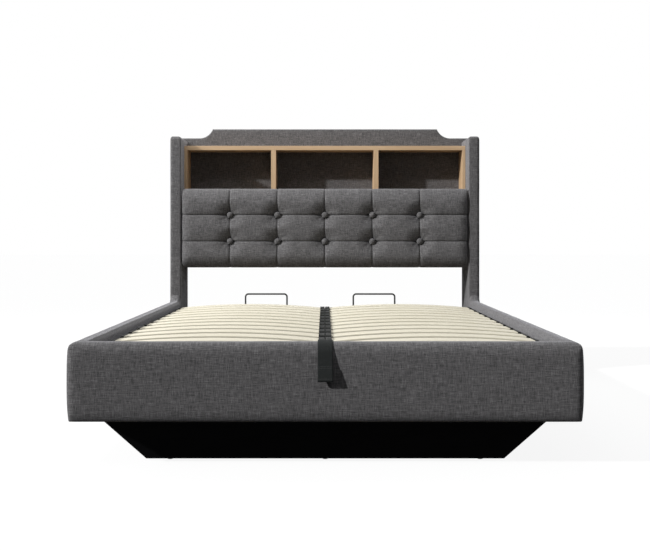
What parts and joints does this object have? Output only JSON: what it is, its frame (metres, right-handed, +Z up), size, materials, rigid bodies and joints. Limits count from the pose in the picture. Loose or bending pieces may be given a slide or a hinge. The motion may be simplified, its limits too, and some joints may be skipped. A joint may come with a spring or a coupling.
{
  "type": "upholstered storage bed",
  "caption": "Upholstered double bed with winged shelf headboard, tufted back panel, lift-up slatted platform with gas struts over a storage box, on a recessed plinth.",
  "frame": {"origin": "on the floor under the middle of the bed's overall length and width", "axes": "+X to the right seen from the foot end, +Y from the foot end to the headboard, +Z up"},
  "size_m": [1.53, 2.432, 1.258],
  "materials": {
    "upholstery_fabric": "matt woven melange grey",
    "webbing": "matt woven black",
    "oak_decor_board": "satin light oak decor",
    "black_board": "matt black",
    "floor_board": "matt grey laminate",
    "carcass_board": "raw board",
    "slat_wood": "satin clear varnish",
    "holder_plastic": "matt moulded",
    "glide_plastic": "matt",
    "hoop_steel": "satin powder coat",
    "black_steel": "satin powder coat",
    "rod_chrome": "bright chrome",
    "zinc_steel": "zinc plated"
  },
  "bodies": {
    "bed_frame": {"back_panel_board": "carcass_board", "back_panel_cover": "upholstery_fabric", "corner_brackets": "zinc_steel", "floor_cleats": "carcass_board", "foot_rail_board": "carcass_board", "foot_rail_cover": "upholstery_fabric", "frame_screws": "zinc_steel", "head_rail": "carcass_board", "left_hinge_bracket": "black_steel", "left_rail_board": "carcass_board", "left_rail_cover": "upholstery_fabric", "left_wing_board": "carcass_board", "left_wing_cover": "upholstery_fabric", "panel_brackets": "zinc_steel", "pivot_nuts": "zinc_steel", "plinth_front_board": "black_board", "plinth_glides": "glide_plastic", "plinth_left_board": "black_board", "plinth_middle_board": "black_board", "plinth_rear_board": "black_board", "plinth_right_board": "black_board", "rest_blocks": "carcass_board", "right_hinge_bracket": "black_steel", "right_rail_board": "carcass_board", "right_rail_cover": "upholstery_fabric", "right_wing_board": "carcass_board", "right_wing_cover": "upholstery_fabric", "shelf_bottom_board": "oak_decor_board", "shelf_left_board": "oak_decor_board", "shelf_left_divider": "oak_decor_board", "shelf_right_board": "oak_decor_board", "shelf_right_divider": "oak_decor_board", "shelf_top_board": "oak_decor_board", "storage_floor_front": "floor_board", "storage_floor_rear": "floor_board", "tuft_buttons": "upholstery_fabric", "tufted_pad": "upholstery_fabric", "tufted_panel_board": "carcass_board", "wing_plates": "zinc_steel"},
    "lift_platform": {"centre_platform_tube": "black_steel", "centre_slat_holders": "holder_plastic", "cross_platform_tubes": "black_steel", "foot_platform_tube": "black_steel", "head_platform_tube": "black_steel", "left_lift_arm": "black_steel", "left_mattress_hoop": "hoop_steel", "left_platform_tube": "black_steel", "left_slat_holders": "holder_plastic", "left_slats": "slat_wood", "right_lift_arm": "black_steel", "right_mattress_hoop": "hoop_steel", "right_platform_tube": "black_steel", "right_slat_holders": "holder_plastic", "right_slats": "slat_wood", "strap_run": "webbing"},
    "left_strut_cylinder": {"left_strut_cylinder": "black_steel"},
    "right_strut_cylinder": {"right_strut_cylinder": "black_steel"},
    "left_strut_rod": {"left_strut_rod": "rod_chrome"},
    "right_strut_rod": {"right_strut_rod": "rod_chrome"},
    "pull_strap": {"strap_tail": "webbing"}
  },
  "joints": [
    {"name": "platform_lift", "type": "hinge", "parent": "bed_frame", "child": "lift_platform", "pos_m": [0, 0.816, 0.262], "axis": [-1, 0, 0], "range_deg": [0, 40]},
    {"name": "left_strut_swing", "type": "hinge", "parent": "bed_frame", "child": "left_strut_cylinder", "pos_m": [-0.684, 0.356, 0.187], "axis": [1, 0, 0], "range_deg": [0, 9.4]},
    {"name": "left_rod_swing", "type": "hinge", "parent": "lift_platform", "child": "left_strut_rod", "pos_m": [-0.684, 0.696, 0.278], "axis": [1, 0, 0], "range_deg": [0, 49.68]},
    {"name": "right_strut_swing", "type": "hinge", "parent": "bed_frame", "child": "right_strut_cylinder", "pos_m": [0.684, 0.356, 0.187], "axis": [1, 0, 0], "range_deg": [0, 9.4]},
    {"name": "right_rod_swing", "type": "hinge", "parent": "lift_platform", "child": "right_strut_rod", "pos_m": [0.684, 0.696, 0.278], "axis": [1, 0, 0], "range_deg": [0, 49.68]},
    {"name": "strap_swing", "type": "hinge", "parent": "lift_platform", "child": "pull_strap", "pos_m": [0, -1.185, 0.376], "axis": [1, 0, 0], "range_deg": [0, 40.4]}
  ],
  "couplings": [
    {"joint": "left_strut_swing", "follows": "platform_lift", "ratio": 0.23},
    {"joint": "left_rod_swing", "follows": "platform_lift", "ratio": 1.232},
    {"joint": "right_strut_swing", "follows": "platform_lift", "ratio": 0.23},
    {"joint": "right_rod_swing", "follows": "platform_lift", "ratio": 1.232},
    {"joint": "strap_swing", "follows": "platform_lift", "ratio": 1}
  ]
}
